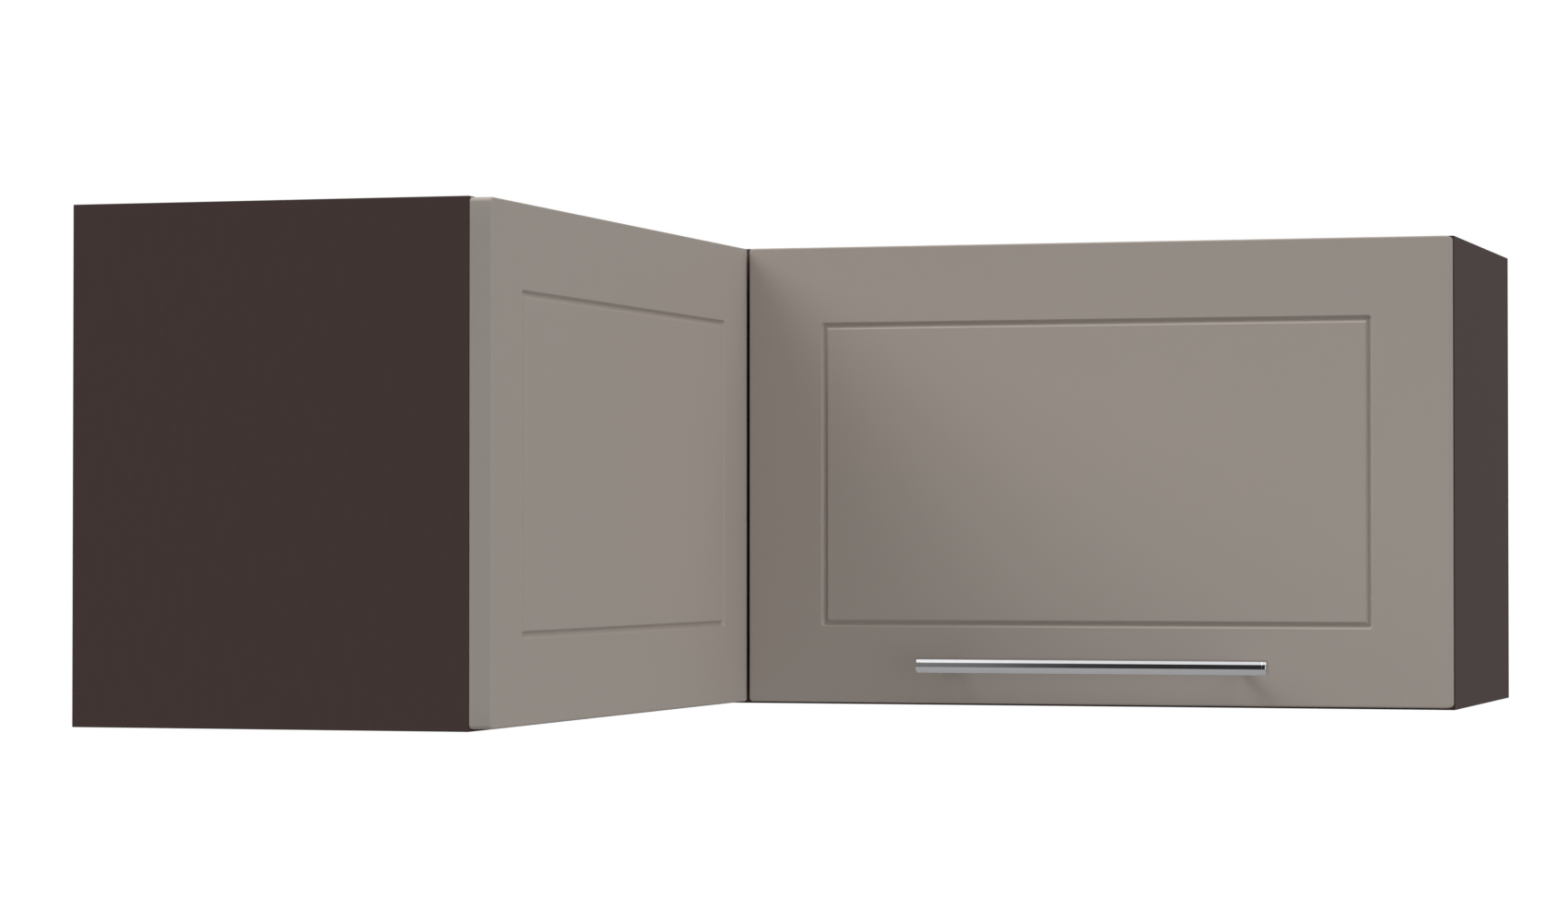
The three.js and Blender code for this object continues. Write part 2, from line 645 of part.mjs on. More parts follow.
/** The arm: a channel over the plate's rib, a level neck into the cup and a knuckle on the pin. */
function makeHingeArm() {
  const upright = [-1, 1].map((side) => -neckUprightSetback + side * neckThickness / 2);
  const neckRear = plateFront;
  const neck = sideProfile([[upright[0], 0], [upright[0], webBottom], [neckRear, webBottom],
    [neckRear, webTop], [upright[1], webTop], [upright[1], 0]], neckWidth);
  const knuckle = rod('x', knuckleDiameter / 2, [-neckWidth / 2, neckWidth / 2], [0, 0], holeSides);
  const rear = plateRear + armRearOverhang;
  const inside = plateRibWidth / 2 + seamGap;
  const outside = inside + armWall;
  const web = block([-outside, outside], [neckRear - armWall, rear], [webBottom, webTop]);
  const walls = [[-outside, -inside], [inside, outside]].map((across) => block(
    across, [neckRear - armWall, rear], [webBottom, wingUnderside - seamGap]));
  const pinBore = rod('x', pinDiameter / 2 + boreClearance, [-neckWidth, neckWidth], [0, 0], holeSides);
  const screwBore = rod('z', armScrewDiameter / 2 + boreClearance, [webBottom - overcut, webTop + overcut],
    [0, plateFromPin]);
  // The plate's wings pass through the arm's walls.
  const wingWidth = plateWingWidth + 2 * seamGap;
  const wingSlot = block([-outside - overcut, outside + overcut],
    [plateFromPin - wingWidth / 2, plateFromPin + wingWidth / 2], [ribUnderside, plateTop]);
  return cut(join(neck, knuckle, web, ...walls), pinBore, screwBore, wingSlot);
}

function makeHingePlate() {
  const wingX = plateScrewSpacing / 2 + plateWingMargin;
  const wings = block([-wingX, wingX], [plateFromPin - plateWingWidth / 2, plateFromPin + plateWingWidth / 2],
    [wingUnderside, plateTop]);
  const half = plateRibWidth / 2;
  const rib = block([-half, half], [plateFront, plateRear], [ribUnderside, plateTop]);
  const screwHoles = [-1, 1].map((side) => rod('z', screwDiameter / 2 + boreClearance,
    [wingUnderside - overcut, plateTop + overcut], [side * plateScrewSpacing / 2, plateFromPin]));
  const armScrewHole = rod('z', armScrewDiameter / 2 + boreClearance,
    [ribUnderside - overcut, plateTop + overcut], [0, plateFromPin]);
  return cut(join(wings, rib), armScrewHole, ...screwHoles);
}

function addHinge(cabinet, side, x) {
  const hinge = frameAt(cabinet, [x, pinY, pinZ]);
  piece(hinge, `hinge_cup_${side}`, makeHingeCup(), 'nickel');
  piece(hinge, `hinge_pin_${side}`, makeHingePin(), 'nickel');
  piece(hinge, `hinge_arm_${side}`, makeHingeArm(), 'nickel');
  piece(hinge, `hinge_plate_${side}`, makeHingePlate(), 'nickel');

  const armScrew = makeScrew(armScrewDiameter, plateTop - webBottom - seamGap, armScrewHeadDiameter,
    armScrewHeadHeight);
  piece(hinge, `hinge_arm_screw_${side}`, armScrew, 'zinc', [0, plateFromPin, webBottom - seamGap])
    .rotation.x = -Math.PI / 2;

  for (const [hand, sign] of [['a', -1], ['b', 1]]) {
    const woodScrew = (thickness) => makeScrew(screwDiameter, screwGrip + thickness, screwHeadDiameter,
      screwHeadHeight);
    const cupScrewSeat = cupFromPin.y + cupFlangeThickness + seamGap;
    piece(hinge, `hinge_cup_screw_${side}_${hand}`, woodScrew(cupFlangeThickness + seamGap), 'zinc',
      [sign * cupScrewSpacing / 2, cupScrewSeat, cupFromPin.z - cupScrewOffset]);
    piece(hinge, `hinge_plate_screw_${side}_${hand}`, woodScrew(plateBaseThickness + seamGap), 'zinc',
      [sign * plateScrewSpacing / 2, plateFromPin, wingUnderside - seamGap]).rotation.x = -Math.PI / 2;
  }
}

// ---------------------------------------------------------------- gas strut
// The strut lies in one upright plane. Its lower pivot stays on the right end panel, its upper
// one turns with the flap. Its pieces are built along +Z from the lower pivot.

const strutX = rightPanelInnerX - strutInset;
const strutLower = new THREE.Vector2(carcassFrontY + strutPivotBack, cabinetHeight - strutPivotDrop);
const strutUpper = new THREE.Vector2(flapBackY + strutStandoff, frontTop - strutFlapDrop);
const strutClosedLength = strutUpper.distanceTo(strutLower);
const strutOpenUpper = strutUpper.clone()
  .rotateAround(new THREE.Vector2(pinY, pinZ), -THREE.MathUtils.degToRad(flapOpening));
const strutOpenLength = strutOpenUpper.distanceTo(strutLower);
const strutStroke = strutOpenLength - strutClosedLength;
const strutLean = Math.atan2(strutLower.x - strutUpper.x, strutUpper.y - strutLower.y);
const strutCylinderTop = strutClosedLength - strutEndLength - seamGap - strutRodShown;
const strutRodBottom = strutCylinderTop - strutGlandGrip - strutStroke;

/** A plastic end fitting at the origin: a drum across, a stem along +Z, a ball socket on one side. */
function makeStrutEnd(socketSide) {
  const half = strutEndWidth / 2;
  const drum = rod('x', strutEndDiameter / 2, [-half, half], [0, 0], rodSides);
  const stem = rod('z', strutStemDiameter / 2, [0, strutEndLength], [0, 0], rodSides);
  const ballRoom = strutBallDiameter / 2 + boreClearance;
  const socketEnds = [socketSide * (half + overcut), -socketSide * ballRoom];
  const socket = rod('x', ballRoom, socketEnds, [0, 0], rodSides);
  return cut(join(drum, stem), socket);
}

/** The plate screwed to the end panel, with a stud and ball that stand in the lower fitting. */
function makePanelBracket() {
  const face = strutInset - seamGap;
  const root = face - strutBracketThickness;
  const plate = block([root, face], [-strutBracketWidth / 2, strutBracketWidth / 2],
    [-strutBracketHeight / 2, strutBracketHeight / 2]);
  const stud = rod('x', strutStudDiameter / 2, [0, root + strutBracketThickness / 2], [0, 0], holeSides);
  const ball = toSolid(new THREE.SphereGeometry(strutBallDiameter / 2, holeSides, ballRings));
  return join(plate, stud, ball);
}

/** The angle screwed to the flap, with a stud that ends beside the upper fitting. */
function makeFlapBracket() {
  const studEnd = -strutEndWidth / 2 - seamGap;
  const tabRight = studEnd - strutTabGap;
  const tabLeft = tabRight - strutBracketThickness;
  const foot = -strutStandoff + seamGap;
  const base = block([tabRight - strutBracketWidth, tabRight], [foot, foot + strutBracketThickness],
    [-strutBracketHeight / 2, strutBracketHeight / 2]);
  const tab = block([tabLeft, tabRight], [foot, strutStudDiameter],
    [-strutTabWidth / 2, strutTabWidth / 2]);
  const stud = rod('x', strutStudDiameter / 2, [tabLeft, studEnd], [0, 0], holeSides);
  return join(base, tab, stud);
}

function addStrut(cabinet) {
  const strut = frameAt(cabinet, [strutX, strutLower.x, strutLower.y], [strutLean, 0, 0]);
  const bodyBottom = strutEndLength + seamGap;
  const cylinder = cut(
    rod('z', strutCylinderDiameter / 2, [bodyBottom, strutCylinderTop], [0, 0], rodSides),
    rod('z', strutRodDiameter / 2 + boreClearance, [strutRodBottom - seamGap, strutCylinderTop + overcut],
      [0, 0], rodSides));
  piece(strut, 'strut_cylinder', cylinder, 'blackSteel');
  piece(strut, 'strut_end_lower', makeStrutEnd(1), 'greyPlastic');
  piece(strut, 'strut_rod', rod('z', strutRodDiameter / 2,
    [strutRodBottom, strutClosedLength - strutEndLength - seamGap], [0, 0], rodSides), 'chrome');
  piece(strut, 'strut_end_upper', makeStrutEnd(-1), 'greyPlastic', [0, 0, strutClosedLength])
    .rotation.x = Math.PI;
  piece(cabinet, 'strut_bracket_panel', makePanelBracket(), 'zinc', [strutX, strutLower.x, strutLower.y]);
  piece(cabinet, 'strut_bracket_flap', makeFlapBracket(), 'zinc', [strutX, strutUpper.x, strutUpper.y]);
}

// ---------------------------------------------------------------- wall hangers
// A hanger is built with its rear face at y = 0, its top at z = 0 and its middle at x = 0;
// its hook leaves through the rear face towards the wall at +Y.

const hookFromTop = hangerHookDrop + hangerHookThickness / 2;

function makeHangerBody() {
  const half = hangerThickness / 2;
  const housing = block([-half, half], [-hangerLength, 0], [-hangerHeight, 0]);
  const slotHalf = hangerHookWidth / 2 + seamGap;
  const slot = block([-slotHalf, slotHalf], [-hangerHookTail - seamGap, overcut],
    [-hookFromTop - hangerHookThickness / 2 - seamGap, -hookFromTop + hangerHookThickness / 2 + seamGap]);
  return cut(housing, slot);
}

function makeHangerHook() {
  const rear = seamGap + backThickness + hangerHookReach;
  const low = -hookFromTop - hangerHookThickness / 2;
  const high = -hookFromTop + hangerHookThickness / 2;
  return sideProfile([[-hangerHookTail, low], [rear - hangerHookThickness, low],
    [rear - hangerHookThickness, high - hangerHookLip], [rear, high - hangerHookLip],
    [rear, high], [-hangerHookTail, high]], hangerHookWidth);
}

function addHangers(cabinet) {
  const rear = backInnerFace + seamGap;
  const half = hangerThickness / 2;
  const places = {
    left_end: { place: [rear, leftPanelInnerY + seamGap + half, hangerTop], turn: [0, 0, Math.PI / 2] },
    corner: { place: [rear + boardThickness + seamGap + half, -rear, hangerTop], turn: [0, 0, 0] },
    right_end: { place: [rightPanelInnerX - seamGap - half, -rear, hangerTop], turn: [0, 0, 0] },
  };
  for (const [name, { place, turn }] of Object.entries(places)) {
    const hanger = frameAt(cabinet, place, turn);
    piece(hanger, `hanger_body_${name}`, makeHangerBody(), 'whitePlastic');
    piece(hanger, `hanger_hook_${name}`, makeHangerHook(), 'zinc');
  }
}

// ---------------------------------------------------------------- the cabinet

const cabinet = new THREE.Group();
addCarcass(cabinet);
addCams(cabinet);
addBlindFront(cabinet);
addFlap(cabinet);
addHandle(cabinet);
for (const [side, x] of Object.entries(hingePlaces)) {
  addHinge(cabinet, side, x);
}
addStrut(cabinet);
addHangers(cabinet);

export default cabinet;
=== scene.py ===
"""Corner wall cabinet: surfaces, finishes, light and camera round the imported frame.

The frame: metres, +Z up, the origin in the corner of the two walls at the cabinet's underside,
+X along the back wall and -Y along the left wall into the room. Sizes here are in millimetres
where a name ends in _mm, and every place comes from the frame's boxes and joints.
"""
import json
import math

import bmesh
import bpy
import numpy as np
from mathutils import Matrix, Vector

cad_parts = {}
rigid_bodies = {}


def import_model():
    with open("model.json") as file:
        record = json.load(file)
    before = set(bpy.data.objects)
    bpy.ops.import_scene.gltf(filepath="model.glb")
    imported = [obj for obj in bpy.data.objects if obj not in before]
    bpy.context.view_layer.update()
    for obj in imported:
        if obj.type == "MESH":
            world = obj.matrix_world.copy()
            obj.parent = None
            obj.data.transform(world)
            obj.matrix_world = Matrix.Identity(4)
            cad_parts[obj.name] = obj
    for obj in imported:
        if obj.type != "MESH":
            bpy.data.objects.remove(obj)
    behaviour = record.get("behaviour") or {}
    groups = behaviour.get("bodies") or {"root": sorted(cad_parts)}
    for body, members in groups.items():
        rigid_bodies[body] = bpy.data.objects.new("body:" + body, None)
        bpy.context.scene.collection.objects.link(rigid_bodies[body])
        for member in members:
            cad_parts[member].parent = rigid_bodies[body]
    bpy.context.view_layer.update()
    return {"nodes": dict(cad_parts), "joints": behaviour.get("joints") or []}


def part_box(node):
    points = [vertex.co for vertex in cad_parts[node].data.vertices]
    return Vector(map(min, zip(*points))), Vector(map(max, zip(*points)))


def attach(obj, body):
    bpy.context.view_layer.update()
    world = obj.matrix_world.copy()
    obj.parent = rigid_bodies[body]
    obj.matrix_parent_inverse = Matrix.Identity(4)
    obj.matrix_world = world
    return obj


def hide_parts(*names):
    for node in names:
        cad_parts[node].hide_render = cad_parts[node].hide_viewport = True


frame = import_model()

# ---------------------------------------------------------------- sizes

MM = 0.001
X, Y, Z = 0, 1, 2

# Fronts: routed and foil-wrapped boards
corner_radius_mm = 3.0
arris_radius_mm = 1.2
back_arris_radius_mm = 0.5
groove_middle_mm = 62.0
groove_half_width_mm = 2.7
groove_bottom_half_width_mm = 0.8
groove_depth_mm = 2.2
groove_lip_radius_mm = 0.6
groove_foot_radius_mm = 0.6
sharp_corner_radius_mm = 0.3
panel_border_mm = 2.0
front_side_steps = 24
front_corner_steps = 8

# Bores in the flap's back
bore_clearance_mm = 0.3
cup_bore_extra_depth_mm = 0.3
bore_overcut_mm = 1.0                # a bore's cutter past the face that it opens

# Handle
bar_end_radius_mm = 1.0
bar_ring_from_end_mm = 3.4
bar_ring_half_width_mm = 0.1
bar_ring_depth_mm = 0.025
bar_ring_edge_radius_mm = 0.08
bar_sides = 96
saddle_rings = 7
saddle_innermost_ring = 0.02         # as a share of the post's radius

# Turned parts
turned_sides = 64
turned_arris_mm = 0.3
pin_arris_mm = 0.15
bumper_arris_mm = 1.2
turned_tip_radius_mm = 0.02          # of the small flat in the middle of an end
straight_to_arris = 3                # a straight is at least this many times its arris
outline_decimals = 2                 # of a millimetre, where an outline is read from a node

# Gas strut
strut_crimp_from_end_mm = 8.0
strut_crimp_half_width_mm = 1.4
strut_crimp_depth_mm = 0.8
strut_crimp_edge_radius_mm = 0.4
strut_crimp_bottom_radius_mm = 0.5
strut_bore_arris_mm = 0.2
strut_shoulder_radius_mm = 1.6
strut_search_margin_mm = 1.0         # from its ends and wall, where its bore's corners are looked for

# Boards and small plates
board_arris_mm = 0.5
plate_arris_mm = 0.25
arris_segments = 2

# Meshes
arc_steps = 6
small_arc_steps = 4
smooth_angle = math.radians(32)
flat_angle = math.radians(0.4)
weld_distance_mm = 0.002
wall_tolerance_mm = 0.01

# Screw heads: the arris and the cross recess are shares of the head's radius
head_arris = 0.12
recess_reach = 0.5
recess_half_width = 0.11
recess_depth = 0.3
recess_slope = 0.05
head_rings = 22
head_sides = 96

# Studio
floor_drop_mm = 1400.0
floor_radius_mm = 3700.0
floor_sides = 64
camera_place_mm = (1386.8, -3807.7, 127.1)
camera_yaw = math.radians(16.705)
camera_pitch = math.radians(1.007)
lens_mm = 106.36
sensor_mm = 36.0

# Lamps of the room: the middle's azimuth from the front towards the right and its elevation,
# the angles from it where the lamp is full and where it ends, all in degrees, and its level
lamps = {
    "above": (-37, 68, 24, 30, 0.97),
    "key_high_on_the_left": (-72, 45, 14, 27, 5.15),
    "in_front_on_the_left": (-42, 32, 12, 23, 0.6),
    "in_front_on_the_right": (38, 0, 12, 26, 0.92),
    "high_on_the_right": (75, 50, 20, 40, 1.6),
    "low_on_the_right": (65, -2, 14, 30, 1.0),
    "rear_on_the_right": (150, 25, 20, 50, 0.41),
    "dim_left_half": (-90, 0, 75.5, 76.8, 0.2),
}
room_level = 0.03

# ---------------------------------------------------------------- frame


def node_box(node):
    """A node's lowest and highest corners in millimetres."""
    low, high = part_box(node)
    return np.array(low) / MM, np.array(high) / MM


def node_middle(node):
    """The middle of a node's box in millimetres."""
    low, high = node_box(node)
    return (low + high) / 2


def along_and_radius(node, foot, axis):
    """Each corner of a node as its distance from foot down the axis, and its distance from the axis."""
    mesh = frame["nodes"][node].data
    flat = np.empty(len(mesh.vertices) * 3)
    mesh.vertices.foreach_get("co", flat)
    away = flat.reshape(-1, 3) / MM - foot
    along = away @ unit(axis)
    return along, np.linalg.norm(away - along[:, None] * unit(axis), axis=1)


def body_of(node):
    """The name of the body that a node rides on."""
    return frame["nodes"][node].parent.name.removeprefix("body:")


def nodes_named(*beginnings):
    """The nodes whose names begin with one of these words."""
    return [node for node in sorted(frame["nodes"]) if node.startswith(beginnings)]


# ---------------------------------------------------------------- surfaces


def unit(vector):
    """A vector scaled to length one."""
    vector = np.asarray(vector, float)
    return vector / np.linalg.norm(vector)


def square_to(axis):
    """Two unit vectors, square to a unit axis and to each other."""
    nearly_along = 0.9
    side = unit(np.cross(axis, [1, 0, 0] if abs(axis[X]) < nearly_along else [0, 0, 1]))
    return side, np.cross(axis, side)


def filleted(corners, radii, steps=arc_steps):
    """An open run of corners with its inner corners rounded.

    An arc leaves the run at radius * tan(half the turn) before the corner. Its points are
    start + radius * sin(a) * heading + radius * (1 - cos(a)) * side, for a from 0 to the turn.
    A point a quarter radius before and after each arc keeps the flats beside it flat.
    """
    corners = np.asarray(corners, float)
    parts = [corners[:1]]
    for before, corner, after, radius in zip(corners[:-2], corners[1:-1], corners[2:], radii):
        heading = unit(corner - before)
        leaving = unit(after - corner)
        turn = math.acos(float(np.clip(heading @ leaving, -1, 1)))
        if radius == 0:
            parts.append(corner[None])
            continue
        side = (leaving - heading * math.cos(turn)) / math.sin(turn)
        start = corner - heading * radius * math.tan(turn / 2)
        angle = np.linspace(0, turn, steps + 1)[:, None]
        arc = start + radius * np.sin(angle) * heading + radius * (1 - np.cos(angle)) * side
        parts += [arc[:1] - heading * radius / 4, arc, arc[-1:] + leaving * radius / 4]
    parts.append(corners[-1:])
    return np.concatenate(parts)


def rectangle_pattern(corner_steps, side_steps):
    """The loop round a rectangle with round corners, as signs and normals.

    A point of the loop is sign * (half size - radius) + normal * radius. Round a corner the
    sign stays and the normal turns; along a side the normal stays and the sign runs across.
    """
    signs = []
    normals = []
    share = np.linspace(0, 1, side_steps + 1)[1:-1, None]
    for quarter in range(4):
        start = quarter * math.pi / 2
        angle = start + np.linspace(0, math.pi / 2, corner_steps + 1)
        here, there = (
            np.round(math.sqrt(2) * np.array([math.cos(a), math.sin(a)]))
            for a in (start + math.pi / 4, start + 3 * math.pi / 4)
        )
        arc = np.stack([np.cos(angle), np.sin(angle)], axis=1)
        signs += [np.repeat(here[None], len(arc), axis=0), here * (1 - share) + there * share]
        normals += [arc, np.repeat(arc[-1:], len(share), axis=0)]
    return np.concatenate(signs), np.concatenate(normals)


def grid_faces(rows, columns):
    """Four-sided faces between a grid's rows, each of which closes on itself."""
    row, column = np.meshgrid(np.arange(rows - 1), np.arange(columns), indexing="ij")
    beside = (column + 1) % columns
    here = row * columns
    corners = [here + column, here + beside, here + columns + beside, here + columns + column]
    return np.stack(corners, axis=-1).reshape(-1, 4).tolist()


def face_middles(mesh):
    """The middle of each face of a mesh, in millimetres."""
    flat = np.empty(len(mesh.polygons) * 3)
    mesh.polygons.foreach_get("center", flat)
    return flat.reshape(-1, 3) / MM


def smoothed(mesh):
    """Smooth shading, with a fold wherever two faces meet at more than the smooth angle."""
    mesh.shade_smooth()
    mesh.set_sharp_from_angle(angle=smooth_angle)


def ringed_solid(name, rings):
    """A closed solid from rings of points in millimetres, with a flat face on either end."""
    rows, columns = rings.shape[:2]
    first = list(range(columns))
    last = list(range((rows - 1) * columns, rows * columns))
    faces = grid_faces(rows, columns) + [first, last]
    mesh = bpy.data.meshes.new(name)
    mesh.from_pydata((rings.reshape(-1, 3) * MM).tolist(), [], faces)
    welded(mesh)
    return mesh


def welded(mesh, flattened=False):
    """Merges a mesh's doubled corners, turns its faces outwards and smooths it.

    Where flattened is true, neighbouring faces that lie level become one.
    """
    shaped = bmesh.new()
    shaped.from_mesh(mesh)
    bmesh.ops.remove_doubles(shaped, verts=shaped.verts, dist=weld_distance_mm * MM)
    if flattened:
        bmesh.ops.dissolve_limit(shaped, angle_limit=flat_angle, verts=shaped.verts, edges=shaped.edges)
    bmesh.ops.recalc_face_normals(shaped, faces=shaped.faces)
    shaped.to_mesh(mesh)
    shaped.free()
    smoothed(mesh)


def turned_mesh(name, profile, foot, axis, sides=turned_sides):
    """A turned solid: a profile's (along, radius) pairs carried round the axis through foot.

    A point is foot + along * axis + radius * (cos(a) * side + sin(a) * other side).
    """
    axis = unit(axis)
    side, other = square_to(axis)
    angle = np.linspace(0, 2 * math.pi, sides, endpoint=False)[None, :, None]
    along, radius = (profile[:, column][:, None, None] for column in (0, 1))
    round_it = np.cos(angle) * side + np.sin(angle) * other
    return ringed_solid(name, np.asarray(foot, float) + along * axis + radius * round_it)


def node_profile(node, foot, axis):
    """A turned node's own outline as (along, radius) corners, read from its mesh.

    along is the distance down the axis and radius the distance from it. Where two corners
    share one place along the axis, the one nearer to the radius before comes first.
    """
    corners = np.round(np.stack(along_and_radius(node, foot, axis), axis=1), outline_decimals)
    steps = {}
    for along, radius in np.unique(corners, axis=0):
        steps.setdefault(along, []).append(radius)
    outline = []
    for along in sorted(steps):
        before = outline[-1][1] if outline else 0
        nearest_first = sorted(steps[along], key=lambda radius: abs(radius - before))
        outline += [(along, radius) for radius in nearest_first]
    return np.array(outline)


def put_in(mesh, node, slot, *finishes):
    """A finished piece in a node's place: it has the node's body and its finishes. The slot is not used.
    """
    piece = bpy.data.objects.new(mesh.name, mesh)
    bpy.context.scene.collection.objects.link(piece)
    mesh.materials.clear()
    for material in finishes:
        mesh.materials.append(material)
    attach(piece, body_of(node))
    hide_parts(node)
    return piece


# ---------------------------------------------------------------- shader maths


class Number:
    """One output of a node. Sums, differences and products of it add Math nodes."""

    def __init__(self, nodes, socket):
        self.nodes = nodes
        self.socket = socket

    def math(self, operation, first, second):
        return self.nodes.add("Math", {"operation": operation}, {0: first, 1: second})

    def __add__(self, other):
        return self.math("ADD", self, other)

    def __radd__(self, other):
        return self.math("ADD", other, self)

    def __sub__(self, other):
        return self.math("SUBTRACT", self, other)

    def __rsub__(self, other):
        return self.math("SUBTRACT", other, self)

    def __mul__(self, other):
        return self.math("MULTIPLY", self, other)

    def __rmul__(self, other):
        return self.math("MULTIPLY", other, self)


class Nodes:
    """The nodes of one tree."""

    def __init__(self, tree):
        self.tree = tree
        tree.nodes.clear()

    def add(self, kind, settings=None, sockets=None, output=0):
        """A node of a type: its settings first, then its sockets' values or links. Gives one output."""
        node = self.tree.nodes.new("ShaderNode" + kind)
        for key, value in (settings or {}).items():
            setattr(node, key, value)
        for key, value in (sockets or {}).items():
            if isinstance(value, Number):
                self.tree.links.new(value.socket, node.inputs[key])
            else:
                node.inputs[key].default_value = value
        return None if output is None else Number(self, node.outputs[output])

    def here(self, stretch=(1, 1, 1)):
        """The shaded point in the piece's own coordinates, stretched along the axes."""
        point = self.add("TexCoord", output="Object")
        return self.add("VectorMath", {"operation": "MULTIPLY"}, {0: point, 1: stretch})

    def noise(self, scale, detail=2.0, roughness=0.5, stretch=(1, 1, 1)):
        """Soft noise from 0 to 1, with scale in lumps a metre."""
        sockets = {"Vector": self.here(stretch), "Scale": scale, "Detail": detail, "Roughness": roughness}
        return self.add("TexNoise", None, sockets)

    def cells(self, scale, output="Distance", stretch=(1, 1, 1)):
        """Cells of a Voronoi pattern, with scale in cells a metre."""
        return self.add("TexVoronoi", None, {"Vector": self.here(stretch), "Scale": scale}, output)

    def ramp(self, value, low, high):
        """0 below low, 1 above high, and smooth in between."""
        sockets = {"Value": value, "From Min": low, "From Max": high}
        return self.add("MapRange", {"interpolation_type": "SMOOTHSTEP"}, sockets)

    def mixed(self, share, first, second):
        """The first colour where share is 0, and the second where it is 1."""
        first, second = (c if isinstance(c, Number) else (*c, 1) for c in (first, second))
        return self.add("Mix", {"data_type": "RGBA"}, {0: share, 6: first, 7: second}, output=2)

    def part(self, vector, axis):
        """One axis of a vector."""
        return self.add("SeparateXYZ", None, {"Vector": vector}, "XYZ"[axis])


def shade(colour, factor):
    """A colour made lighter or darker."""
    return tuple(channel * factor for channel in colour)


def finish(name, build, **uniform):
    """A material with one Principled shader.

    build(nodes) gives what varies over the surface by socket name, and the bump's height and
    depth in millimetres. The uniform numbers are set on the shader's own sockets.
    """
    material = bpy.data.materials.new(name)
    material.use_nodes = True
    nodes = Nodes(material.node_tree)
    varying, height, depth_mm = build(nodes)
    varying["Normal"] = nodes.add("Bump", None, {"Height": height, "Distance": depth_mm * MM})
    sockets = {key.replace("_", " "): value for key, value in uniform.items()}
    shader = nodes.add("BsdfPrincipled", None, {**sockets, **varying})
    nodes.add("OutputMaterial", None, {"Surface": shader}, output=None)
    return material


# ---------------------------------------------------------------- finishes

foil_colour = (0.42, 0.373, 0.336)
# Painted shade: the foil made darker for the blind front's outer end, where the lamps give too much light
foil_painted_shade_colour = (0.37, 0.34, 0.304)
laminate_colour = (0.068, 0.0445, 0.0405)
hardboard_colour = (0.07, 0.05, 0.042)
raw_hardboard_colour = (0.20, 0.115, 0.062)
chipboard_colour = (0.42, 0.29, 0.165)
chrome_colour = (0.71, 0.71, 0.73)
nickel_colour = (0.62, 0.59, 0.54)
zinc_colour = (0.58, 0.60, 0.62)
black_steel_colour = (0.018, 0.018, 0.019)
grey_plastic_colour = (0.11, 0.11, 0.115)
white_plastic_colour = (0.78, 0.78, 0.76)
rubber_colour = (0.72, 0.74, 0.74)
floor_colour = (0.36, 0.36, 0.36)


def foil(colour):
    """Soft matt foil: a slow drift of tone, and pores finer than a millimetre."""
    def build(nodes):
        drift = nodes.noise(2.5)
        pores = nodes.noise(1400, detail=1)
        grain = nodes.noise(320)
        tone = nodes.mixed(drift * 0.7 + grain * 0.3, shade(colour, 0.985), shade(colour, 1.015))
        return {"Base Color": tone, "Roughness": 0.56 + grain * 0.08}, pores + grain * 0.5, 0.012
    return build


def laminate(nodes):
    """Dark melamine: short upright flecks in its print, and a pearl-like embossing."""
    flecks = nodes.noise(260, detail=3, stretch=(1, 1, 0.12))
    pearl = nodes.cells(900)
    tone = nodes.mixed(flecks, shade(laminate_colour, 0.96), shade(laminate_colour, 1.04))
    return {"Base Color": tone, "Roughness": 0.5 + pearl * 0.12}, pearl + flecks * 0.4, 0.02


def chipboard(nodes):
    """A board's raw edge: pressed chips of many tones with fine dust between them."""
    chips = nodes.cells(330, "Color", stretch=(1, 1, 1.6))
    tone = nodes.part(chips, X)
    dust = nodes.noise(1500, detail=3)
    wood = nodes.mixed(tone, shade(chipboard_colour, 0.62), shade(chipboard_colour, 1.25))
    dusty = nodes.mixed(dust * 0.5, wood, chipboard_colour)
    return {"Base Color": dusty, "Roughness": 0.85 + dust * 0.1}, tone + dust, 0.25


def hardboard(nodes):
    """The lacquered side of hardboard: smooth, with faint fibres under the lacquer."""
    fibres = nodes.noise(420, detail=4, roughness=0.7)
    tone = nodes.mixed(fibres, shade(hardboard_colour, 0.85), shade(hardboard_colour, 1.15))
    return {"Base Color": tone, "Roughness": 0.45 + fibres * 0.1}, fibres, 0.01


def raw_hardboard(nodes):
    """The rear side of hardboard: matted fibres in brown tones, and the press screen's print."""
    fibres = nodes.noise(700, detail=5, roughness=0.75)
    clouds = nodes.noise(14, detail=3)
    screen = nodes.cells(620)
    mottle = fibres * 0.6 + clouds * 0.4
    tone = nodes.mixed(mottle, shade(raw_hardboard_colour, 0.7), shade(raw_hardboard_colour, 1.35))
    return {"Base Color": tone, "Roughness": 0.8 + fibres * 0.15}, fibres + screen, 0.12


def polished(colour, roughness):
    """Plated metal: fine polishing lines and a breath of unevenness in the shine."""
    def build(nodes):
        lines = nodes.noise(900, detail=2, stretch=(0.05, 1, 1))
        bloom = nodes.noise(40)
        tone = nodes.mixed(bloom, shade(colour, 0.97), shade(colour, 1.03))
        return {"Base Color": tone, "Roughness": roughness + bloom * 0.03}, lines, 0.002
    return build


def zinc_plate(nodes):
    """Zinc-plated steel: cloudy spangles with a little tumbled wear."""
    spangle = nodes.part(nodes.cells(260, "Color"), X)
    scuff = nodes.noise(1200, detail=4)
    tone = nodes.mixed(spangle * 0.6 + scuff * 0.4, shade(zinc_colour, 0.86), shade(zinc_colour, 1.12))
    return {"Base Color": tone, "Roughness": 0.3 + spangle * 0.08 + scuff * 0.1}, scuff, 0.01


